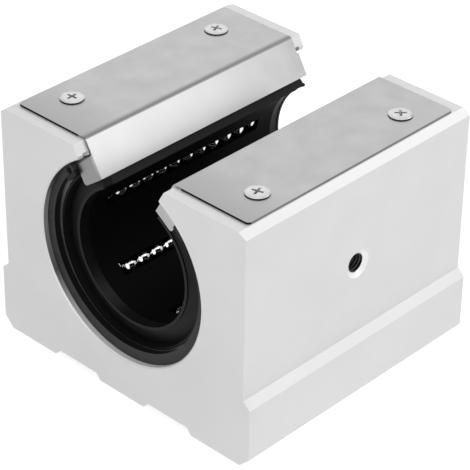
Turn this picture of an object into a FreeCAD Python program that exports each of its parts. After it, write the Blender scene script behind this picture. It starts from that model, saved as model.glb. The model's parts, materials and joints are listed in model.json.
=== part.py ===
import FreeCAD, Part
import math
import os

from FreeCAD import Vector

# Open linear bearing block for a 50 mm supported shaft. Millimetres.
# The origin is the centre of the mounting face, +Z is up and Y runs along the shaft.
# Angles are taken about the shaft, from straight up (+Z) towards +X.

# Block: aluminium extrusion, cut to length and machined
block_length = 110.0
flange_width = 120.0
body_width = 114.2
centre_height = 53.0
top_above_centre = 37.4
flange_edge_height = 24.3
shoulder_rise = 2.7
foot_chamfer = 4.2
top_chamfer_run = 3.3
top_chamfer_drop = 1.8
edge_break = 0.3
bore_chamfer = 0.5

# Two long reliefs under the block leave the three lands that it is mounted on
centre_land_width = 21.0
relief_width = 23.0
relief_depth = 2.4
relief_wall_run = 2.0
relief_fillet = 1.0

# Threaded holes, at their drilled size
bolt_spacing_x = 94.0
bolt_spacing_y = 80.0
bolt_drill_diameter = 8.5
bolt_hole_depth = 22.0
drill_point_angle = 118.0
side_hole_diameter = 6.8
side_hole_above_centre = 1.5
side_hole_offset = -0.5
side_hole_mouth_diameter = 10.6
side_hole_mouth_depth = 1.2
side_hole_relief = 1.0

# Bearing: 75 mm outside and 100 mm long
shaft_diameter = 50.0
bearing_wall = 12.5
bearing_recess = 5.0
opening_angle = 60.0
bearing_fit = 0.03
slot_clearance = 0.15
sleeve_end_chamfer = 0.5
sleeve_groove_depth = 1.5
sleeve_groove_width = 2.65
sleeve_groove_inset = 11.2

# Ball circuits. Each one's balls have come to rest at another share of the way to the next ball.
circuit_starts = [0.7, 0.2, 0.9, 0.03, 0.5]
circuit_pitch_angle = 60.0
ball_diameter = 6.35
ball_clearance = 0.05
ball_pitch_clearance = 0.1
ball_sides = 6
row_half_angle = 16.0
return_row_rise = 1.6
return_row_clearance = 0.25
turn_rise = 1.0
land_half_angle = 6.5

# Retainer and end seals
retainer_bore_clearance = 0.08
retainer_wall_clearance = 0.2
channel_clearance = 0.12
channel_floor = 0.6
window_width = 5.0
window_run_out = 5.0
track_end_wall = 1.2
seal_thickness = 5.0
seal_bore_clearance = 0.3
seal_lip_clearance = 0.05
seal_lip_width = 1.1
seal_lip_thickness = 0.9
seal_lip_recess = 0.5
seal_cone_recess = 1.0
seal_dish_depth = 2.6
seal_rim_width = 0.8
seal_wall_run = 0.6

# Retaining rings, in grooves in the block's bore
ring_groove_depth = 1.5
ring_groove_width = 2.65
ring_thickness = 2.5
ring_groove_clearance = 0.1
ring_bore_height = 3.3
ring_bore_offset = 0.9
lug_height = 4.6
lug_start_angle = 43.0
lug_width_angle = 9.5
lug_corner_radius = 0.9
lug_hole_diameter = 2.6
lug_hole_depth = 1.7
lug_hole_inset_angle = 3.8

# Cover plates, folded from sheet
plate_thickness = 0.8
plate_edge_margin = 0.4
plate_bend_radius = 1.0
plate_corner_radius = 1.5
plate_slot_clearance = 0.1
flank_bearing_clearance = 0.5
flank_shaft_clearance = 3.5
tab_root_width = 8.6
tab_reach = 8.7
tab_upper_skew = 1.9
tab_lower_skew = 1.0
tab_corner_radius = 1.2

# Plate screws
plate_screw_side_inset = 10.4
plate_screw_end_inset = 15.0
plate_screw_shank = 4.2
plate_screw_length = 10.0
plate_hole_clearance = 0.4
screw_thread_clearance = 0.05
screw_drill_depth = 12.0
screw_head_diameter = 9.5
screw_head_rim = 0.4
screw_crown_diameter = 7.4
screw_head_height = 0.8
recess_width = 1.1
recess_span = 5.0
recess_depth = 1.9

centre = Vector(0, 0, centre_height)
along = Vector(0, 1, 0)
up = Vector(0, 0, 1)


def radial(angle, radius, y=0.0):
    a = math.radians(angle)
    return Vector(radius * math.sin(a), y, centre_height + radius * math.cos(a))


# Worked out from the sizes above
block_height = centre_height + top_above_centre
plate_top = block_height + plate_thickness
half_block = block_length / 2
end_y = half_block - bearing_recess
retainer_end = end_y - seal_thickness
shaft_radius = shaft_diameter / 2
bore_radius = shaft_radius + bearing_wall
opening_half = opening_angle / 2
slot_half = bore_radius * math.sin(math.radians(opening_half)) + slot_clearance

# Rows of balls, the raceways over them and the inside of the sleeve
ball_radius = ball_diameter / 2
load_row_radius = shaft_radius + ball_clearance + ball_radius
return_row_radius = load_row_radius + return_row_rise
raceway_radius = load_row_radius + ball_radius + ball_clearance
relief_radius = return_row_radius + ball_radius + return_row_clearance
retainer_radius = relief_radius - retainer_wall_clearance
channel_half_width = ball_radius + channel_clearance
row_to_row = radial(row_half_angle, return_row_radius) - radial(-row_half_angle, load_row_radius)
turn_reach = row_to_row.Length / 2
row_end = retainer_end - track_end_wall - channel_half_width - turn_reach
row_straight_length = 2 * row_end
circuit_middle = (len(circuit_starts) - 1) / 2
circuit_angles = [180 + circuit_pitch_angle * (i - circuit_middle) for i in range(len(circuit_starts))]

# Section of the right-hand flank, which lies along the bearing's opening: down the sheet, and through it
flank_slope = math.radians(opening_half)
flank_down = Vector(-math.sin(flank_slope), 0, -math.cos(flank_slope))
flank_through = Vector(math.cos(flank_slope), 0, -math.sin(flank_slope))
flank_inset = (flank_bearing_clearance + plate_thickness) / math.cos(flank_slope)
plate_rise = plate_top - centre_height
bend_corner = Vector(plate_rise * math.tan(flank_slope) - flank_inset, 0, plate_top)
flank_length = (centre - bend_corner).dot(flank_down) - shaft_radius - flank_shaft_clearance
plate_edge = body_width / 2 - top_chamfer_run - plate_edge_margin
plate_screw_x = plate_edge - plate_screw_side_inset
plate_screw_y = end_y - plate_screw_end_inset


def prism(points, y0, y1):
    """Extrudes an outline of (x, z) points from y0 to y1."""
    wire = Part.makePolygon([Vector(x, y0, z) for x, z in points + points[:1]])
    return Part.Face(wire).extrude(Vector(0, y1 - y0, 0))


def cylinder(radius, y0, y1, at=centre):
    return Part.makeCylinder(radius, y1 - y0, Vector(at.x, y0, at.z), along)


def mirror_x(shape):
    return shape.mirror(Vector(0, 0, 0), Vector(1, 0, 0))


def mirror_y(shape):
    return shape.mirror(Vector(0, 0, 0), Vector(0, 1, 0))


def turned(section, start, sweep):
    """Turns a section of (radius, y) points about the shaft."""
    wire = Part.makePolygon([radial(start, r, y) for r, y in section + section[:1]])
    return Part.Face(wire).revolve(centre, along, sweep)


def open_ring(section):
    """A turned ring with the bearing's opening left out of it."""
    return turned(section, opening_half, 360 - opening_angle)


def corners(x, y):
    return [(-x, -y), (-x, y), (x, -y), (x, y)]


def straight_edges(shape, direction, keep):
    """Straight edges in one direction whose middle passes a test."""
    found = []
    for edge in shape.Edges:
        run = edge.Vertexes[-1].Point - edge.Vertexes[0].Point
        if run.Length > 0.01 and run.cross(direction).Length < 0.001 * run.Length:
            middle = (edge.Vertexes[-1].Point + edge.Vertexes[0].Point) / 2
            if keep(middle):
                found.append(edge)
    return found


# Block

def block_outline():
    foot = flange_width / 2
    side = body_width / 2
    right = [
        (foot - foot_chamfer, 0.0),
        (foot, foot_chamfer),
        (foot, flange_edge_height),
        (side, flange_edge_height + shoulder_rise),
        (side, block_height - top_chamfer_drop),
        (side - top_chamfer_run, block_height),
    ]
    return right + [(-x, z) for x, z in reversed(right)]


def slot_outline():
    """Slot over the bore, flared at the top to follow the plates' folded flanks."""
    offset = plate_thickness + plate_slot_clearance
    on_flare = bend_corner + flank_through * offset
    slope = math.tan(flank_slope)
    mouth = on_flare.x - (on_flare.z - block_height) * slope
    flare_z = on_flare.z - (on_flare.x - slot_half) / slope
    right = [(slot_half, centre_height), (slot_half, flare_z), (mouth, block_height)]
    return right + [(-x, z) for x, z in reversed(right)]


def underside_relief():
    inner = centre_land_width / 2
    outer = inner + relief_width
    points = [
        (inner, 0.0),
        (outer, 0.0),
        (outer - relief_wall_run, relief_depth),
        (inner + relief_wall_run, relief_depth),
    ]
    cut = prism(points, -half_block, half_block)
    roof = straight_edges(cut, along, lambda p: p.z > relief_depth / 2)
    return cut.makeFillet(relief_fillet, roof)


def bolt_drillings():
    radius = bolt_drill_diameter / 2
    point = radius / math.tan(math.radians(drill_point_angle / 2))
    cuts = []
    for x, y in corners(bolt_spacing_x / 2, bolt_spacing_y / 2):
        cuts.append(Part.makeCylinder(radius, bolt_hole_depth, Vector(x, y, 0)))
        cuts.append(Part.makeCone(radius, 0, point, Vector(x, y, bolt_hole_depth)))
    return cuts


def side_drilling():
    """Lubrication hole from the side through to the bore, countersunk outside and relieved inside."""
    inward = Vector(-1, 0, 0)
    mouth = Vector(body_width / 2, side_hole_offset, centre_height + side_hole_above_centre)
    drill = side_hole_diameter / 2
    wide = side_hole_mouth_diameter / 2
    hole = Part.makeCylinder(drill, body_width / 2 - bore_radius / 2, mouth, inward)
    countersink = Part.makeCone(wide, drill, side_hole_mouth_depth, mouth, inward)
    inner_mouth = Vector(bore_radius + side_hole_relief, mouth.y, mouth.z)
    relief = Part.makeCylinder(drill + side_hole_relief, bore_radius / 2, inner_mouth, inward)
    return [hole, countersink, relief]


def plate_screw_drillings():
    radius = plate_screw_shank / 2 + screw_thread_clearance
    floor = block_height - screw_drill_depth
    places = [Vector(x, y, floor) for x, y in corners(plate_screw_x, plate_screw_y)]
    return [Part.makeCylinder(radius, screw_drill_depth, place) for place in places]


def bore_cuts():
    mouth = Vector(0, -half_block, centre_height)
    chamfer = Part.makeCone(bore_radius + bore_chamfer, bore_radius, bore_chamfer, mouth, along)
    groove = cylinder(bore_radius + ring_groove_depth, end_y, end_y + ring_groove_width)
    bore = cylinder(bore_radius, -half_block, half_block)
    return [bore, chamfer, mirror_y(chamfer), groove, mirror_y(groove)]


def make_block():
    body = prism(block_outline(), -half_block, half_block)
    inside = body_width / 2 - edge_break
    body = body.makeChamfer(edge_break, straight_edges(body, up, lambda p: abs(p.x) > inside))
    body = body.cut(prism(slot_outline(), -half_block, half_block))
    relief = underside_relief()
    body = body.cut([relief, mirror_x(relief)])
    body = body.cut(bore_cuts())
    return body.cut(bolt_drillings() + side_drilling() + plate_screw_drillings())


# Ball circuits: each is a closed loop of one loaded row, one return row and two turns

def row_angles(circuit_angle):
    return circuit_angle - row_half_angle, circuit_angle + row_half_angle


def turn_path(circuit_angle):
    """Line of the ball centres round the rear end of a circuit."""
    loaded, back = row_angles(circuit_angle)
    start = radial(loaded, load_row_radius, row_end)
    stop = radial(back, return_row_radius, row_end)
    middle = radial(circuit_angle, load_row_radius + turn_rise, row_end + turn_reach)
    return Part.Arc(start, middle, stop).toShape()


def circuit_centres(circuit_angle, first):
    """Ball centres of one circuit, evenly spaced round its closed path from a share of the pitch."""
    loaded, back = row_angles(circuit_angle)
    turn = turn_path(circuit_angle)
    half_round = row_straight_length + turn.Length
    per_half = int(half_round / (ball_diameter + ball_pitch_clearance))
    centres = []
    for i in range(per_half):
        s = half_round * (i + first) / per_half
        if s < row_straight_length:
            centres.append(radial(loaded, load_row_radius, s - row_end))
            centres.append(radial(back, return_row_radius, row_end - s))
        else:
            on_turn = turn.valueAt(turn.getParameterByLength(s - row_straight_length))
            opposite = turn.valueAt(turn.getParameterByLength(half_round - s))
            centres.append(on_turn)
            centres.append(Vector(opposite.x, -opposite.y, opposite.z))
    return centres


def make_ball():
    """One ball, cut with flat facets so that a full circuit stays light. Its poles are on Z."""
    level = ball_radius * math.sin(math.pi / 4)
    top, bottom = Vector(0, 0, ball_radius), Vector(0, 0, -ball_radius)
    rings = []
    for radius, z in ((level, level), (ball_radius, 0.0), (level, -level)):
        turns = [2 * math.pi * i / ball_sides for i in range(ball_sides + 1)]
        rings.append([Vector(radius * math.cos(t), radius * math.sin(t), z) for t in turns])
    outlines = []
    for i in range(ball_sides):
        outlines.append([top, rings[0][i], rings[0][i + 1]])
        outlines.append([rings[0][i], rings[1][i], rings[1][i + 1], rings[0][i + 1]])
        outlines.append([rings[1][i], rings[2][i], rings[2][i + 1], rings[1][i + 1]])
        outlines.append([rings[2][i], bottom, rings[2][i + 1]])
    faces = [Part.Face(Part.makePolygon(points + points[:1])) for points in outlines]
    return Part.Solid(Part.Shell(faces))


def make_circuit(circuit_angle, first):
    ball = make_ball()
    balls = []
    for at in circuit_centres(circuit_angle, first):
        placed = ball.copy()
        angle = math.degrees(math.atan2(at.x, at.z - centre_height))
        placed.rotate(Vector(0, 0, 0), along, angle)
        placed.translate(at)
        balls.append(placed)
    return Part.makeCompound(balls)


# Bearing

def make_sleeve():
    """Outer steel sleeve, with a raised raceway over each loaded row."""
    outer = bore_radius - bearing_fit
    groove = outer - sleeve_groove_depth
    near = end_y - sleeve_groove_inset - sleeve_groove_width / 2
    far = near + sleeve_groove_width
    half = [
        (relief_radius, end_y),
        (outer - sleeve_end_chamfer, end_y),
        (outer, end_y - sleeve_end_chamfer),
        (outer, far),
        (groove, far),
        (groove, near),
        (outer, near),
    ]
    sleeve = open_ring(half + [(r, -y) for r, y in reversed(half)])
    root = (relief_radius + groove) / 2
    land = [(raceway_radius, -row_end), (root, -row_end), (root, row_end), (raceway_radius, row_end)]
    lands = []
    for angle in circuit_angles:
        loaded = row_angles(angle)[0]
        lands.append(turned(land, loaded - land_half_angle, 2 * land_half_angle))
    return sleeve.fuse(lands).removeSplitter()


def stadium(half_width, height):
    """Long round-ended block over a circuit that is centred on +Z, standing on the shaft's axis."""
    width, length = 2 * half_width, 2 * row_end
    bar = Part.makeBox(width, length, height, Vector(-half_width, -row_end, 0))
    ends = [Part.makeCylinder(half_width, height, Vector(0, y, 0)) for y in (-row_end, row_end)]
    return bar.fuse(ends).removeSplitter()


def circuit_track(circuit_angle):
    """Closed groove that guides the balls of one circuit, open towards the sleeve."""
    floor = shaft_radius + channel_floor
    outside = stadium(turn_reach + channel_half_width, bore_radius)
    island = stadium(turn_reach - channel_half_width, bore_radius)
    track = outside.cut(island)
    track.rotate(Vector(0, 0, 0), along, circuit_angle)
    track.translate(centre)
    return track.cut(cylinder(floor, -end_y, end_y))


def ball_window(loaded):
    """Slot narrower than a ball, through which a loaded row reaches the shaft."""
    length = row_straight_length + 2 * window_run_out
    start = Vector(-window_width / 2, -length / 2, shaft_radius / 2)
    window = Part.makeBox(window_width, length, load_row_radius - shaft_radius / 2, start)
    window.rotate(Vector(0, 0, 0), along, loaded)
    window.translate(centre)
    return window


def raceway_room(loaded):
    """Room in the back of the retainer for the sleeve's raised raceway."""
    low = raceway_radius - retainer_wall_clearance
    end = row_end + retainer_wall_clearance
    half_angle = land_half_angle + math.degrees(retainer_wall_clearance / low)
    section = [(low, -end), (bore_radius, -end), (bore_radius, end), (low, end)]
    return turned(section, loaded - half_angle, 2 * half_angle)


def make_retainer():
    """Plastic ball retainer: one long open sleeve with five closed ball tracks."""
    inner, outer, end = shaft_radius + retainer_bore_clearance, retainer_radius, retainer_end
    body = open_ring([(inner, -end), (outer, -end), (outer, end), (inner, end)])
    for angle in circuit_angles:
        loaded = row_angles(angle)[0]
        body = body.cut([circuit_track(angle), ball_window(loaded), raceway_room(loaded)])
    return body


def make_end_seal():
    """Rear end seal: a dished ring with a wiping lip that just clears the shaft."""
    lip = shaft_radius + seal_lip_clearance
    inner = shaft_radius + seal_bore_clearance
    dish = retainer_radius - seal_rim_width
    lip_face = end_y - seal_lip_recess
    return open_ring([
        (inner, retainer_end),
        (retainer_radius, retainer_end),
        (retainer_radius, end_y),
        (dish, end_y),
        (dish - seal_wall_run, end_y - seal_dish_depth),
        (lip + seal_lip_width, end_y - seal_cone_recess),
        (lip + seal_lip_width, lip_face),
        (lip, lip_face),
        (lip, lip_face - seal_lip_thickness),
        (inner, lip_face - seal_lip_thickness),
    ])


def make_lug(outer):
    """Rounded lug at one end of the retaining ring."""
    y0, y1 = end_y, end_y + ring_thickness
    inner = bore_radius - lug_height
    lug = turned([(inner, y0), (outer, y0), (outer, y1), (inner, y1)], lug_start_angle, lug_width_angle)
    reach = inner + lug_corner_radius
    inner_corners = straight_edges(lug, along, lambda p: math.hypot(p.x, p.z - centre_height) < reach)
    return lug.makeFillet(lug_corner_radius, inner_corners)


def make_retaining_ring():
    """Rear internal retaining ring, sprung into its groove in the block."""
    y0, y1 = end_y, end_y + ring_thickness
    outer = bore_radius + ring_groove_depth - ring_groove_clearance
    section = [(shaft_radius, y0), (outer, y0), (outer, y1), (shaft_radius, y1)]
    ring = turned(section, lug_start_angle, 360 - 2 * lug_start_angle)
    ring = ring.cut(cylinder(bore_radius - ring_bore_height, y0, y1, centre + up * ring_bore_offset))
    lug = make_lug(outer)
    ring = ring.fuse([lug, mirror_x(lug)]).removeSplitter()
    hole_at = radial(lug_start_angle + lug_hole_inset_angle, bore_radius - lug_hole_depth)
    hole = cylinder(lug_hole_diameter / 2, y0, y1, hole_at)
    return ring.cut([hole, mirror_x(hole)])


# Cover plates

def flank_point(down, through):
    at = bend_corner + flank_down * down + flank_through * through
    return at.x, at.z


def folded_sheet():
    """The flat top and the sloping flank of the right-hand plate, as one folded sheet."""
    under_bend = plate_thickness * math.tan((math.pi / 2 - flank_slope) / 2)
    points = [
        (plate_edge, plate_top),
        (bend_corner.x, plate_top),
        flank_point(flank_length, 0),
        flank_point(flank_length, plate_thickness),
        flank_point(under_bend, plate_thickness),
        (plate_edge, block_height),
    ]
    sheet = prism(points, -end_y, end_y)
    outer_bend = straight_edges(sheet, along, lambda p: abs(p.x - bend_corner.x) < 0.01)
    sheet = sheet.makeFillet(plate_bend_radius, outer_bend)
    return sheet.makeFillet(plate_corner_radius, straight_edges(sheet, up, lambda p: p.x > bend_corner.x))


def end_tab():
    """Tab at the rear end of the flank, folded out over the bearing's end face."""
    root = flank_length - tab_root_width
    points = [
        flank_point(root, 0),
        flank_point(root + tab_upper_skew, tab_reach),
        flank_point(flank_length + tab_lower_skew, tab_reach),
        flank_point(flank_length, 0),
    ]
    tab = prism(points, end_y, end_y + plate_thickness)
    far = flank_through.dot(bend_corner) + tab_reach
    outer = straight_edges(tab, along, lambda p: flank_through.dot(p) > far - 0.01)
    return tab.makeFillet(tab_corner_radius, outer)


def make_right_plate():
    tab = end_tab()
    plate = folded_sheet().fuse([tab, mirror_y(tab)])
    radius = plate_screw_shank / 2 + plate_hole_clearance
    under = Vector(plate_screw_x, plate_screw_y, block_height)
    drill = Part.makeCylinder(radius, 2 * plate_thickness, under)
    return plate.cut([drill, mirror_y(drill)]).removeSplitter()


def make_plate_screw():
    """Low-headed cross-recessed screw, standing at the origin on the underside of its head."""
    radius = screw_head_diameter / 2
    crown_height = screw_head_height - screw_head_rim
    rim = Part.makeCylinder(radius, screw_head_rim)
    crown = Part.makeCone(radius, screw_crown_diameter / 2, crown_height, up * screw_head_rim)
    shank = Part.makeCylinder(plate_screw_shank / 2, plate_screw_length, up * -plate_screw_length)
    screw = rim.fuse([crown, shank]).removeSplitter()
    corner = Vector(-recess_span / 2, -recess_width / 2, screw_head_height - recess_depth)
    arm = Part.makeBox(recess_span, recess_width, recess_depth, corner)
    cross = arm.copy()
    cross.rotate(Vector(0, 0, 0), up, 90)
    return screw.cut([arm, cross])


def make_right_screws():
    screw = make_plate_screw()
    screw.translate(Vector(plate_screw_x, plate_screw_y, plate_top))
    return Part.makeCompound([screw, mirror_y(screw)])


def make_parts():
    seal = make_end_seal()
    ring = make_retaining_ring()
    plate = make_right_plate()
    screws = make_right_screws()
    parts = {
        "block": make_block(),
        "bearing_sleeve": make_sleeve(),
        "ball_retainer": make_retainer(),
        "front_end_seal": mirror_y(seal),
        "rear_end_seal": seal,
        "front_retaining_ring": mirror_y(ring),
        "rear_retaining_ring": ring,
        "left_plate": mirror_x(plate),
        "right_plate": plate,
        "left_plate_screws": mirror_x(screws),
        "right_plate_screws": screws,
    }
    for i, (angle, first) in enumerate(zip(circuit_angles, circuit_starts)):
        parts["ball_circuit_%d" % (i + 1)] = make_circuit(angle, first)
    return parts


os.makedirs("parts", exist_ok=True)
for name, shape in make_parts().items():
    shape.exportStep("parts/%s.step" % name)
    print(name, shape.isValid(), len(shape.Solids), round(shape.Volume, 1), len(shape.Faces))
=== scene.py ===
import json
import math

import bpy
from mathutils import Matrix, Vector


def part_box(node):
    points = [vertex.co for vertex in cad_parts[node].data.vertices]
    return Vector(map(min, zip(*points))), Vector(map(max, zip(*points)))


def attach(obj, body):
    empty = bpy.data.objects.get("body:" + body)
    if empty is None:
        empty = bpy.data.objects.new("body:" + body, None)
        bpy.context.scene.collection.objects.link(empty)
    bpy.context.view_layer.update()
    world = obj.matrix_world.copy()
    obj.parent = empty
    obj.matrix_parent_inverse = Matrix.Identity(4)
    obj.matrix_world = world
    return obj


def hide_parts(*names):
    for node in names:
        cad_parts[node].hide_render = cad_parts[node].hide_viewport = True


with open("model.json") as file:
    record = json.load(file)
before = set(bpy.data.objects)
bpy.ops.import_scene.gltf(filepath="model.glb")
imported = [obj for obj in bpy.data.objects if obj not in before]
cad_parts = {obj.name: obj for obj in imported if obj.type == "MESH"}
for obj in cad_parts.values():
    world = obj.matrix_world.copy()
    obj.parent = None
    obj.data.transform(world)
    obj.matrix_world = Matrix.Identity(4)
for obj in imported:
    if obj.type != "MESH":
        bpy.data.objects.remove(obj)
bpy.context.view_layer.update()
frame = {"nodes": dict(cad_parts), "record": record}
nodes = frame["nodes"]
mounts = {mount["name"]: mount for mount in frame["record"]["mounts"]}
bpy.ops.object.select_all(action="DESELECT")
print("frame loaded:", len(nodes), "nodes")

# places from the frame, in metres: x across, y along the shaft, z up from the mounting face
shaftHeight = mounts["shaft_bore"]["pos_m"][2]
sideHole = mounts["lubrication_hole"]["pos_m"]
sideHoleRadius = mounts["lubrication_hole"]["dims"]["r_mm"] / 1000
boltHoles = mounts["mounting_holes"]["dims"]
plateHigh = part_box("right_plate")[1]
plateEdge, plateTop = plateHigh[0], plateHigh[2]
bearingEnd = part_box("bearing_sleeve")[1][1]
sideFace = 0.0571  # the block's flat side, above its shoulders
seatRadius = 0.0375  # the bearing's seat in the block
ringBoreRise = 0.0009  # the retaining rings' inner edge is centred this far above the shaft
bend = 0.0206  # where the plates bend down into the slot, across
past = 0.06  # past every face of the block, across or endways


def srgb(hexColour):
    # sRGB hex to linear
    channels = [int(hexColour[i:i + 2], 16) / 255 for i in (1, 3, 5)]
    linear = [c / 12.92 if c <= 0.04045 else ((c + 0.055) / 1.055) ** 2.4 for c in channels]
    return (*linear, 1.0)


def addNode(tree, kind, settings=None, links=None):
    # settings: attribute or socket values; links: input socket -> (node, output)
    node = tree.nodes.new(kind)
    for key, value in (settings or {}).items():
        if isinstance(key, str) and hasattr(node, key):
            setattr(node, key, value)
        else:
            node.inputs[key].default_value = value
    for key, (source, output) in (links or {}).items():
        tree.links.new(source.outputs[output], node.inputs[key])
    return node


def newMaterial(name):
    material = bpy.data.materials.new(name)
    material.use_nodes = True
    material.node_tree.nodes.clear()
    return material, material.node_tree


# finishes

# lines to measure a distance from: 1 for each direction across the line, and a place on it
finishAxes = {
    "fromShaft": ((1, 0, 1), (0, 0, shaftHeight)),
    "fromRingBore": ((1, 0, 1), (0, 0, shaftHeight + ringBoreRise)),
    "fromSideHole": ((0, 1, 1), (0, sideHole[1], sideHole[2])),
}


def measured(tree, coords, what):
    # x, y or z, a distance from a line, or how far aside (x) or endways (y) of the middle
    if what in finishAxes:
        across, place = finishAxes[what]
        flat = addNode(tree, "ShaderNodeMapping",
                       {"Location": [-p * a for p, a in zip(place, across)], "Scale": across},
                       {"Vector": (coords, "Object")})
        length = addNode(tree, "ShaderNodeVectorMath", {"operation": "LENGTH"},
                         {0: (flat, "Vector")})
        return length, "Value"
    parts = addNode(tree, "ShaderNodeSeparateXYZ", {}, {0: (coords, "Object")})
    if what in ("x", "y", "z"):
        return parts, what.upper()
    signed = (parts, {"aside": "X", "endways": "Y"}[what])
    return addNode(tree, "ShaderNodeMath", {"operation": "ABSOLUTE"}, {0: signed}), 0


def setStops(ramp, stops):
    # stops: (position, hex colour)
    elements = ramp.color_ramp.elements
    while len(elements) > 1:
        elements.remove(elements[-1])
    elements[0].position, elements[0].color = stops[0][0], srgb(stops[0][1])
    for position, tone in stops[1:]:
        elements.new(position).color = srgb(tone)


def tonesByHeight(tree, coords, tones):
    # tones: height -> colour
    low, high = min(tones), max(tones)
    rise = addNode(tree, "ShaderNodeMapRange", {"From Min": low, "From Max": high},
                   {"Value": measured(tree, coords, "z")})
    ramp = addNode(tree, "ShaderNodeValToRGB", {}, {"Fac": (rise, "Result")})
    setStops(ramp, [((height - low) / (high - low), tone) for height, tone in tones.items()])
    return ramp, "Color"


def layZone(tree, coords, under, zone):
    # lays the zone's tone over a colour where each measure is between its low and its high, in
    # metres, with a blur past them
    mask = None
    for what, (low, high, blur) in zone["where"].items():
        value = measured(tree, coords, what)
        rise = addNode(tree, "ShaderNodeMapRange", {"From Min": low - blur, "From Max": low},
                       {"Value": value})
        fall = addNode(tree, "ShaderNodeMapRange",
                       {"From Min": high, "From Max": high + blur, "To Min": 1.0, "To Max": 0.0},
                       {"Value": value})
        inside = addNode(tree, "ShaderNodeMath", {"operation": "MULTIPLY"},
                         {0: (rise, "Result"), 1: (fall, "Result")})
        if mask:
            inside = addNode(tree, "ShaderNodeMath", {"operation": "MULTIPLY"},
                             {0: (mask, 0), 1: (inside, 0)})
        mask = inside
    settings, links = {"data_type": "RGBA"}, {0: (mask, 0), 6: under}
    if isinstance(zone["tone"], str):
        settings[7] = srgb(zone["tone"])
    else:
        links[7] = tonesByHeight(tree, coords, zone["tone"])
    return addNode(tree, "ShaderNodeMix", settings, links), 2


bumpHeight = 0.0002  # of the grain, in metres


def makeFinish(name, look):
    # clouding in colour and roughness, with streaks if it is brushed, then tones laid over zones.
    # Grain and streaks are drawn 0.3 mm coarse or more, since the real ones are too fine to show
    material, tree = newMaterial(name)
    coords = addNode(tree, "ShaderNodeTexCoord")
    clouds = addNode(tree, "ShaderNodeTexNoise", {"Scale": 1000 / look["cloudMm"], "Detail": 3.0},
                     {"Vector": (coords, "Object")})
    pattern = (clouds, "Fac")
    if "streakMm" in look:
        across, along = (1000 / size for size in look["streakMm"])
        stretch = addNode(tree, "ShaderNodeMapping", {"Scale": (across, along, across)},
                          {"Vector": (coords, "Object")})
        streaks = addNode(tree, "ShaderNodeTexNoise", {"Scale": 1.0, "Detail": 3.0},
                          {"Vector": (stretch, "Vector")})
        mixed = addNode(tree, "ShaderNodeMix", {"data_type": "FLOAT", "Factor": look["cloudShare"]},
                        {"A": (streaks, "Fac"), "B": pattern})
        pattern = (mixed, "Result")
    low, high = look.get("spread", (0.3, 0.7))
    ramp = addNode(tree, "ShaderNodeValToRGB", {}, {"Fac": pattern})
    setStops(ramp, [(low, look["dark"]), (high, look["light"])])
    colour = (ramp, "Color")
    for zone in look.get("zones", []):
        colour = layZone(tree, coords, colour, zone)
    rough = addNode(tree, "ShaderNodeMapRange",
                    {"To Min": look["roughLow"], "To Max": look["roughHigh"]}, {"Value": pattern})
    links = {"Base Color": colour, "Roughness": (rough, "Result")}
    if "bump" in look:
        grain = addNode(tree, "ShaderNodeTexNoise",
                        {"Scale": 1000 / look["grainMm"], "Detail": 2.0},
                        {"Vector": (coords, "Object")})
        bump = addNode(tree, "ShaderNodeBump", {"Strength": look["bump"], "Distance": bumpHeight},
                       {"Height": (grain, "Fac")})
        links["Normal"] = (bump, "Normal")
    shader = addNode(tree, "ShaderNodeBsdfPrincipled",
                     {"Metallic": look["metallic"],
                      "Specular IOR Level": look.get("specular", 0.5)}, links)
    addNode(tree, "ShaderNodeOutputMaterial", {}, {"Surface": (shader, "BSDF")})
    return material


# Many zones stand in for light and shade on a finish that is the same all over. They are fixed to
# the piece, so they hold from every side, but they suit this studio's light best

# clear anodised extrusion: even satin pale grey, with its fine grit drawn 1.6 mm coarse so that it
# shows. Zones for light: the bearing's seat bright low down and dim by the slot, the side hole dark
# inside and bright on its countersink
sideMouth = {"radius": 0.0053, "depth": 0.0012}
mouthFloor = sideFace - sideMouth["depth"]
seatTones = {0.015: "#FFFFFF", 0.024: "#E4E4E4", 0.03525: "#757575", 0.051: "#A6A6A6",
             0.0615: "#A6A6A6", 0.072: "#474747"}
aluminium = makeFinish("anodisedAluminium", {
    "dark": "#DFDFE0", "light": "#E3E3E4", "spread": (0.35, 0.65), "metallic": 0.3,
    "roughLow": 0.42, "roughHigh": 0.5, "cloudMm": 22, "grainMm": 1.6, "bump": 0.015,
    "zones": [
        {"tone": seatTones, "where": {"fromShaft": (0, seatRadius + 0.00005, 0.00005)}},
        {"tone": "#101010", "where": {"fromSideHole": (0, sideHoleRadius + 0.00005, 0.00005),
                                      "x": (seatRadius - 0.0015, mouthFloor, 0.0001)}},
        {"tone": "#F6F6F6", "where": {
            "fromSideHole": (sideHoleRadius + 0.0002, sideMouth["radius"], 0.00005),
            "x": (mouthFloor, sideFace - 0.00005, 0.00002)}},
    ]})

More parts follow.
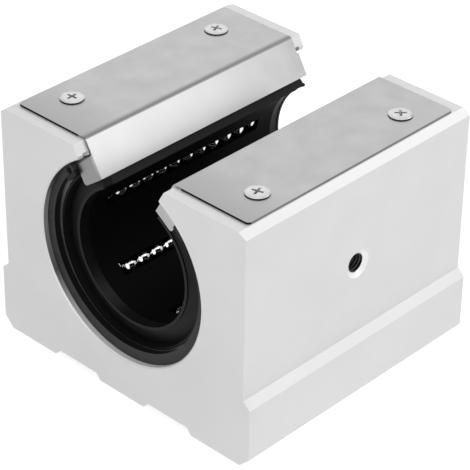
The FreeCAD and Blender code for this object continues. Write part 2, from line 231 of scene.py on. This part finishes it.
# brushed stainless sheet: fine streaks and soft clouding, with painted shade on its edges
sheetTop = (plateTop - 0.0004, plateTop + 0.0008, 0.0002)
sheetEdge = (plateTop - 0.0012, plateTop - 0.00005, 0.00003)
outerPart = (0.024, past, 0.0001)  # the flat part of each plate, outside its bend
flankFoot = 0.06  # lower than the flanks reach
stainless = makeFinish("brushedStainless", {
    "dark": "#A2A2A2", "light": "#ACACAC", "spread": (0.35, 0.65), "metallic": 1.0,
    "roughLow": 0.28, "roughHigh": 0.38, "cloudMm": 9, "streakMm": (0.35, 25), "cloudShare": 0.8,
    "zones": [
        # for light: duller tops towards the near end, and along the left bend
        {"tone": "#989898", "where": {"y": (-past, -0.048, 0.02), "z": sheetTop}},
        {"tone": "#6A6A6A", "where": {"x": (-bend - 0.0001, -bend + 0.0011, 0.0022),
                                      "z": sheetTop}},
        # painted shade on the sheet's edges, darkest at the ends
        {"tone": "#7C7C7C", "where": {"aside": outerPart, "z": sheetEdge}},
        {"tone": "#1C1C1C", "where": {"aside": outerPart, "z": sheetEdge,
                                      "endways": (0.049, past, 0.0004)}},
        # for light: the left flank, bright towards the near end, and its tab
        {"tone": "#B8B8B8", "where": {"x": (-bend, 0, 0.0002), "y": (-past, 0.005, 0.04),
                                      "z": (flankFoot, plateTop - 0.0008, 0.0004)}},
        {"tone": "#8A8A8A", "where": {"x": (-0.04, 0, 0.0002), "y": (-past, -0.0499, 0.0001),
                                      "z": (flankFoot, plateTop - 0.0012, 0.0004)}},
    ]})

# hardened sleeve: ground end face, dulled by oil
groundSteel = makeFinish("groundBearingSteel", {
    "dark": "#5E5E60", "light": "#7C7C7E", "metallic": 0.6, "roughLow": 0.35, "roughHigh": 0.5,
    "cloudMm": 8, "grainMm": 0.5, "bump": 0.02})
# lapped balls: mirror bright, so they show as points of light
ballSteel = makeFinish("lappedBallSteel", {
    "dark": "#D4D4D6", "light": "#E4E4E6", "metallic": 1.0, "roughLow": 0.05, "roughHigh": 0.1,
    "cloudMm": 3})
# black acetal retainer: nearly black inside the bore. A zone for light: its cut edges in the slot
acetal = makeFinish("mouldedAcetal", {
    "dark": "#030303", "light": "#060606", "metallic": 0.0, "specular": 0.05,
    "roughLow": 0.6, "roughHigh": 0.7, "cloudMm": 6, "grainMm": 0.4, "bump": 0.03,
    "zones": [{"tone": "#303030", "where": {"z": (0.0748, plateTop, 0.0008)}}]})
# black nitrile seal: soft satin black. A zone for shade: its outer dish
nitrile = makeFinish("mouldedNitrile", {
    "dark": "#090909", "light": "#111111", "metallic": 0.0, "specular": 0.15,
    "roughLow": 0.4, "roughHigh": 0.5, "cloudMm": 5, "grainMm": 0.4, "bump": 0.05,
    "zones": [{"tone": "#050505", "where": {"fromShaft": (0.0305, 0.034, 0.00005)}}]})
# phosphated ring: matt charcoal. A zone for shade: its inner edge
springSteel = makeFinish("phosphatedSpringSteel", {
    "dark": "#303030", "light": "#3B3B3B", "metallic": 0.0, "specular": 0.2,
    "roughLow": 0.5, "roughHigh": 0.65, "cloudMm": 3, "grainMm": 0.3, "bump": 0.08,
    "zones": [{"tone": "#0A0A0A", "where": {"fromRingBore": (0.03, 0.03425, 0.00005)}}]})
# zinc plate: bright pale metal with a slight haze
zincSteel = makeFinish("zincPlatedSteel", {
    "dark": "#B6B6B6", "light": "#C8C8C8", "metallic": 1.0, "roughLow": 0.22, "roughHigh": 0.34,
    "cloudMm": 2, "grainMm": 0.3, "bump": 0.02})
# the same plating down in the cross recess: greyer, out of the light
recessZinc = makeFinish("zincInRecess", {
    "dark": "#A6A6A6", "light": "#B8B8B8", "metallic": 0.4, "roughLow": 0.4, "roughHigh": 0.5,
    "cloudMm": 2, "grainMm": 0.3, "bump": 0.02})
# painted shadow under a screw head's edge: almost black
shadeUnderHead = makeFinish("paintedShadeUnderHead", {
    "dark": "#141414", "light": "#222222", "metallic": 0.0, "specular": 0.3,
    "roughLow": 0.4, "roughHigh": 0.6, "cloudMm": 2, "grainMm": 0.3, "bump": 0.02})
# tapped aluminium deep in its hole, its crests painted dim as shade
tappedMetal = makeFinish("tappedAluminium", {
    "dark": "#3E3E3E", "light": "#525252", "metallic": 0.4, "roughLow": 0.3, "roughHigh": 0.4,
    "cloudMm": 2, "grainMm": 0.3, "bump": 0.02})

nodeFinish = {
    "block": aluminium, "bearing_sleeve": groundSteel, "ball_retainer": acetal,
    "front_end_seal": nitrile, "rear_end_seal": nitrile,
    "front_retaining_ring": springSteel, "rear_retaining_ring": springSteel,
    "left_plate": stainless, "right_plate": stainless,
}
for name, finish in nodeFinish.items():
    mesh = nodes[name].data
    mesh.materials.clear()
    mesh.materials.append(finish)
print("finishes set")


def copyOf(piece):
    # a copy with its own mesh
    twin = piece.copy()
    twin.data = piece.data.copy()
    bpy.context.collection.objects.link(twin)
    return twin


def makeActive(piece):
    bpy.ops.object.select_all(action="DESELECT")
    piece.select_set(True)
    bpy.context.view_layer.objects.active = piece


def settle(piece):
    # place, turn and size go into the mesh
    makeActive(piece)
    bpy.ops.object.transform_apply(location=True, rotation=True, scale=True)


def joined(pieces, name):
    makeActive(pieces[0])
    for piece in pieces:
        piece.select_set(True)
    bpy.ops.object.join()
    whole = bpy.context.object
    whole.name = name
    settle(whole)
    return whole


def addTo(piece, replaced=None):
    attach(piece, "root")
    if replaced:
        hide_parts(replaced)
    bpy.ops.object.select_all(action="DESELECT")


def selectFaces(piece, test):
    # picks faces by a test on their middle and normal, and leaves the piece in edit mode
    makeActive(piece)
    bpy.ops.object.mode_set(mode="EDIT")
    bpy.ops.mesh.select_mode(type="FACE")
    bpy.ops.mesh.select_all(action="DESELECT")
    bpy.ops.object.mode_set(mode="OBJECT")
    for face in piece.data.polygons:
        face.select = test(face.center, face.normal)
    bpy.ops.object.mode_set(mode="EDIT")


steep = 0.9  # how much of a face's normal is upright, if the face looks up or down


def facesUp(centre, normal):
    return normal.z > steep


def facesDown(centre, normal):
    return normal.z < -steep


# balls: a loaded row by the shaft, a return row further out and a round turn at each end. Angles
# are in degrees from straight up

ballLook = {
    "diameter": 0.00635, "smoothness": 2, "circuitAngles": [60, 120, 180, 240, 300],
    "circuitStarts": [0.7, 0.2, 0.9, 0.03, 0.5], "rowHalfAngle": 16, "loadRadius": 0.028225,
    "returnRadius": 0.029825, "turnRadius": 0.029225, "straight": 0.064935, "perHalfRound": 14,
}


def makeBall():
    # a cube rounded to a sphere, so that it has no poles
    look = ballLook
    bpy.ops.mesh.primitive_cube_add(size=look["diameter"])
    ball = bpy.context.object
    rounding = ball.modifiers.new("rounding", "SUBSURF")
    rounding.subdivision_type = "SIMPLE"
    rounding.levels = rounding.render_levels = look["smoothness"]
    casting = ball.modifiers.new("casting", "CAST")
    casting.factor = 1.0
    casting.size = look["diameter"] / 2
    casting.use_radius_as_size = False
    for modifier in ("rounding", "casting"):
        bpy.ops.object.modifier_apply(modifier=modifier)
    bpy.ops.object.shade_smooth()
    ball.data.materials.append(ballSteel)
    return ball


def aboutShaft(angle, radius, y):
    # angles in degrees from straight up, towards +x
    a = math.radians(angle)
    return Vector((radius * math.sin(a), y, shaftHeight + radius * math.cos(a)))


def arcThrough(start, middle, stop):
    # the arc through three points, as a function of the share travelled, and its length
    a, b = middle - start, stop - start
    n = a.cross(b)
    toCentre = n.cross(a) * b.length_squared + b.cross(n) * a.length_squared
    centre = start + toCentre / (2 * n.length_squared)
    radius = (start - centre).length
    outward = (start - centre).normalized()
    onward = n.normalized().cross(outward)
    reach = stop - centre
    sweep = math.atan2(reach.dot(onward), reach.dot(outward)) % (2 * math.pi)

    def place(share):
        turned = outward * math.cos(sweep * share) + onward * math.sin(sweep * share)
        return centre + radius * turned

    return place, radius * sweep


def ballPlaces(circuitAngle, first):
    # first: how far the first ball has come towards the next one's place
    look = ballLook
    end = look["straight"] / 2
    loaded, back = circuitAngle - look["rowHalfAngle"], circuitAngle + look["rowHalfAngle"]
    start = aboutShaft(loaded, look["loadRadius"], end)
    stop = aboutShaft(back, look["returnRadius"], end)
    middle = aboutShaft(circuitAngle, look["turnRadius"], end + (stop - start).length / 2)
    turn, turnLength = arcThrough(start, middle, stop)
    halfRound = look["straight"] + turnLength
    places = []
    for i in range(look["perHalfRound"]):
        s = halfRound * (i + first) / look["perHalfRound"]
        if s < look["straight"]:
            places.append(aboutShaft(loaded, look["loadRadius"], s - end))
            places.append(aboutShaft(back, look["returnRadius"], end - s))
        else:
            far = turn((halfRound - s) / turnLength)
            places.append(turn((s - look["straight"]) / turnLength))
            places.append(Vector((far.x, -far.y, far.z)))
    return places


pattern = makeBall()
for i, (angle, first) in enumerate(zip(ballLook["circuitAngles"], ballLook["circuitStarts"])):
    balls = []
    for place in ballPlaces(angle, first):
        ball = copyOf(pattern)
        ball.location = place
        balls.append(ball)
    addTo(joined(balls, "smooth_balls_%d" % (i + 1)), "ball_circuit_%d" % (i + 1))
bpy.data.objects.remove(pattern)
print("balls placed")

# plate screws

screwLook = {
    "headRadius": 0.0043, "rimHeight": 0.00042, "sides": 48,
    "crown": [(0.0003, 0.00014), (0.0008, 0.00013), (0.0013, 0.0001)],  # (inset, rise)
    "shankRadius": 0.0021, "shankLength": 0.010,
    "recessSpan": 0.0050, "recessWidth": 0.0011, "recessDepth": 0.0016, "recessTaper": 0.45,
    "overcut": 0.0006,  # how far the cutter stands above the crown
    "smoothAngle": 25,
    "rimShare": 0.97, "recessShare": 0.9, "rimSlope": 0.3,  # what is rim, and what is below it
    "sideInset": 0.0104, "endInset": 0.015,  # from the plate's side and the bearing's end
    "turns": {(-1, -1): 4, (-1, 1): 21, (1, -1): 17, (1, 1): 44},  # (side, end) -> degrees
}


def makeScrew():
    look = screwLook
    bpy.ops.mesh.primitive_cylinder_add(vertices=look["sides"], radius=look["headRadius"],
                                        depth=look["rimHeight"],
                                        location=(0, 0, look["rimHeight"] / 2))
    screw = bpy.context.object
    selectFaces(screw, facesUp)
    for thickness, rise in look["crown"]:
        bpy.ops.mesh.inset(thickness=thickness, depth=rise)
    bpy.ops.object.mode_set(mode="OBJECT")
    selectFaces(screw, facesDown)
    bpy.ops.mesh.inset(thickness=look["headRadius"] - look["shankRadius"])
    bpy.ops.mesh.extrude_region_move(
        TRANSFORM_OT_translate={"value": (0, 0, -look["shankLength"])})
    bpy.ops.object.mode_set(mode="OBJECT")
    settle(screw)
    for turn in (0, math.pi / 2):
        cutRecessArm(screw, turn)
    finishScrew(screw)
    bpy.ops.object.shade_smooth_by_angle(angle=math.radians(look["smoothAngle"]))
    return screw


def cutRecessArm(screw, turn):
    # one wing of the cross recess, narrower towards its bottom
    look = screwLook
    top = look["rimHeight"] + sum(rise for thickness, rise in look["crown"])
    height = look["recessDepth"] + look["overcut"]
    bpy.ops.mesh.primitive_cube_add(
        size=1, location=(0, 0, top - look["recessDepth"] + height / 2),
        scale=(look["recessSpan"], look["recessWidth"], height))
    arm = bpy.context.object
    settle(arm)
    selectFaces(arm, facesDown)
    bpy.ops.transform.resize(value=(look["recessTaper"], look["recessTaper"], 1))
    bpy.ops.object.mode_set(mode="OBJECT")
    arm.rotation_euler = (0, 0, turn)
    settle(arm)
    makeActive(screw)
    cut = screw.modifiers.new("recess", "BOOLEAN")
    cut.operation = "DIFFERENCE"
    cut.object = arm
    bpy.ops.object.modifier_apply(modifier="recess")
    bpy.data.objects.remove(arm)


def finishScrew(screw):
    # zinc all over, painted shadow on the head's upright rim, and greyer zinc as painted shade in the
    # recess and on the shank
    look = screwLook
    for finish in (zincSteel, shadeUnderHead, recessZinc):
        screw.data.materials.append(finish)
    for face in screw.data.polygons:
        outward = math.hypot(face.center.x, face.center.y) / look["headRadius"]
        if outward > look["rimShare"] and abs(face.normal.z) < look["rimSlope"]:
            face.material_index = 1
        elif outward < look["recessShare"] and face.center.z < look["rimHeight"] * look["recessShare"]:
            face.material_index = 2


patternScrew = makeScrew()
for side, sideName in ((-1, "left"), (1, "right")):
    screws = []
    for end in (-1, 1):
        screw = copyOf(patternScrew)
        screw.location = (side * (plateEdge - screwLook["sideInset"]),
                          end * (bearingEnd - screwLook["endInset"]), plateTop)
        screw.rotation_euler = (0, 0, math.radians(screwLook["turns"][side, end]))
        screws.append(screw)
    addTo(joined(screws, "crosshead_screws_" + sideName), sideName + "_plate_screws")
bpy.data.objects.remove(patternScrew)
print("screws placed")

# threads

boltX, boltY = (boltHoles[key] / 1000 / 2 for key in ("spacing_x_mm", "spacing_y_mm"))
threadLook = {
    "side_hole_thread": {
        "wall": sideHoleRadius, "height": 0.00035, "pitch": 0.00125, "count": 13,
        "places": [(seatRadius + 0.002, sideHole[1], sideHole[2])], "turn": (0, math.pi / 2, 0)},
    "mounting_threads": {
        "wall": boltHoles["hole_r_mm"] / 1000, "height": 0.0004, "pitch": 0.0015, "count": 13,
        "places": [(x, y, 0.0012) for x in (-boltX, boltX) for y in (-boltY, boltY)],
        "turn": (0, 0, 0)},
}
# the ridge's foot takes up this share of the pitch, and lies this deep in the wall
threadCut = {"stepsPerTurn": 24, "footShare": 0.9, "bury": 0.00002}


def makeThread(look):
    # a three-sided ridge wound up the wall of a hole
    bpy.ops.mesh.primitive_circle_add(vertices=3, radius=look["height"])
    ridge = bpy.context.object
    foot, crest = look["wall"] + threadCut["bury"], look["wall"] - look["height"]
    half = look["pitch"] * threadCut["footShare"] / 2
    corners = ((foot, 0, -half), (foot, 0, half), (crest, 0, 0))
    for vertex, corner in zip(ridge.data.vertices, corners):
        vertex.co = corner
    winding = ridge.modifiers.new("winding", "SCREW")
    winding.axis = "Z"
    winding.screw_offset = look["pitch"]
    winding.iterations = look["count"]
    winding.steps = winding.render_steps = threadCut["stepsPerTurn"]
    bpy.ops.object.modifier_apply(modifier="winding")
    bpy.ops.object.mode_set(mode="EDIT")
    bpy.ops.mesh.select_all(action="SELECT")
    bpy.ops.mesh.remove_doubles(threshold=0.000001)
    bpy.ops.mesh.fill_holes(sides=4)
    bpy.ops.mesh.normals_make_consistent(inside=False)
    bpy.ops.object.mode_set(mode="OBJECT")
    ridge.data.materials.append(tappedMetal)
    return ridge


for name, look in threadLook.items():
    pattern = makeThread(look)
    ridges = []
    for place in look["places"]:
        ridge = copyOf(pattern)
        ridge.location = place
        ridge.rotation_euler = look["turn"]
        ridges.append(ridge)
    addTo(joined(ridges, name))
    bpy.data.objects.remove(pattern)
print("threads cut")

# floor, light and camera

studioLook = {"floorSize": 6.0, "floorDrop": 0.0002, "floorTone": "#F4F4F4", "floorGlow": 0.55,
              "worldLevel": 0.39, "lampTarget": (0, 0, 0.05)}


def backgroundRays(tree):
    # 1 for the rays that should meet a white background: the camera's, mirrored or refracted
    paths = addNode(tree, "ShaderNodeLightPath")
    mirrored = addNode(tree, "ShaderNodeMath", {"operation": "MAXIMUM"},
                       {0: (paths, "Is Camera Ray"), 1: (paths, "Is Glossy Ray")})
    return addNode(tree, "ShaderNodeMath", {"operation": "MAXIMUM"},
                   {0: (mirrored, 0), 1: (paths, "Is Transmission Ray")})


def makeFloor():
    # paper that glows a little for those rays, so that it is white but keeps the shadow
    bpy.ops.mesh.primitive_plane_add(size=studioLook["floorSize"],
                                     location=(0, 0, -studioLook["floorDrop"]))
    floor = bpy.context.object
    floor.name = "studio_floor"
    material, tree = newMaterial("paperWhiteFloor")
    paper = addNode(tree, "ShaderNodeBsdfDiffuse", {"Color": srgb(studioLook["floorTone"])})
    glow = addNode(tree, "ShaderNodeEmission",
                   {"Color": (1, 1, 1, 1), "Strength": studioLook["floorGlow"]})
    lit = addNode(tree, "ShaderNodeAddShader", {}, {0: (paper, 0), 1: (glow, 0)})
    seen = addNode(tree, "ShaderNodeMixShader", {},
                   {0: (backgroundRays(tree), 0), 1: (paper, 0), 2: (lit, 0)})
    addNode(tree, "ShaderNodeOutputMaterial", {}, {"Surface": (seen, 0)})
    floor.data.materials.append(material)


def makeWorld():
    world = bpy.data.worlds.new("studioWorld")
    bpy.context.scene.world = world
    world.use_nodes = True
    tree = world.node_tree
    tree.nodes.clear()
    room = addNode(tree, "ShaderNodeBackground",
                   {"Color": (1, 1, 1, 1), "Strength": studioLook["worldLevel"]})
    white = addNode(tree, "ShaderNodeBackground", {"Color": (1, 1, 1, 1), "Strength": 1.0})
    mixed = addNode(tree, "ShaderNodeMixShader", {},
                    {0: (backgroundRays(tree), 0), 1: (room, 0), 2: (white, 0)})
    addNode(tree, "ShaderNodeOutputWorld", {}, {"Surface": (mixed, 0)})


lampLook = {
    "overheadSoftbox": {"toward": (0.0, 0.1, 1.0), "distance": 0.95, "size": (0.9, 0.9),
                        "power": 0.85},
    "backHighSoftbox": {"toward": (0.32, 0.61, 0.70), "distance": 1.0, "size": (0.7, 0.4),
                        "power": 2.0},
    "rightBackSoftbox": {"toward": (0.84, 0.50, 0.24), "distance": 1.0, "size": (0.4, 0.4),
                         "power": 0.95},
    "leftBackSoftbox": {"toward": (-0.575, 0.611, 0.543), "distance": 1.0, "size": (0.6, 0.6),
                        "power": 0.47},
    "frontSoftbox": {"toward": (0.42, -0.79, 0.45), "distance": 1.1, "size": (1.0, 1.0),
                     "power": 3.6},
}


def addLamp(name, look):
    target = Vector(studioLook["lampTarget"])
    place = target + Vector(look["toward"]).normalized() * look["distance"]
    bpy.ops.object.light_add(type="AREA", location=place)
    lamp = bpy.context.object
    lamp.name = name
    lamp.data.shape = "RECTANGLE"
    lamp.data.size, lamp.data.size_y = look["size"]
    lamp.data.energy = look["power"]
    lamp.rotation_euler = (target - place).to_track_quat("-Z", "Y").to_euler()


cameraLook = {"place": (0.4523, -0.4800, 0.4668), "azimuth": 43.26, "elevation": 32.93,
              "roll": 0.82, "lens": 172.5, "sensor": 36, "clip": (0.01, 20)}


def makeCamera():
    # azimuth is turned from -y towards +x, and roll is anticlockwise, seen from behind the camera
    look = cameraLook
    az, el, roll = (math.radians(look[k]) for k in ("azimuth", "elevation", "roll"))
    back = Vector((math.sin(az) * math.cos(el), -math.cos(az) * math.cos(el), math.sin(el)))
    right = (-back).cross(Vector((0, 0, 1))).normalized()
    up = right.cross(-back)
    turned = right * math.cos(roll) + up * math.sin(roll)
    raised = up * math.cos(roll) - right * math.sin(roll)
    axes = Matrix((turned, raised, back)).transposed()
    bpy.ops.object.camera_add(location=look["place"], rotation=axes.to_euler())
    camera = bpy.context.object
    camera.data.lens = look["lens"]
    camera.data.sensor_width = look["sensor"]
    camera.data.clip_start, camera.data.clip_end = look["clip"]
    bpy.context.scene.camera = camera


makeFloor()
makeWorld()
for name, look in lampLook.items():
    addLamp(name, look)
makeCamera()
bpy.context.scene.view_settings.view_transform = "Standard"
print("studio set")
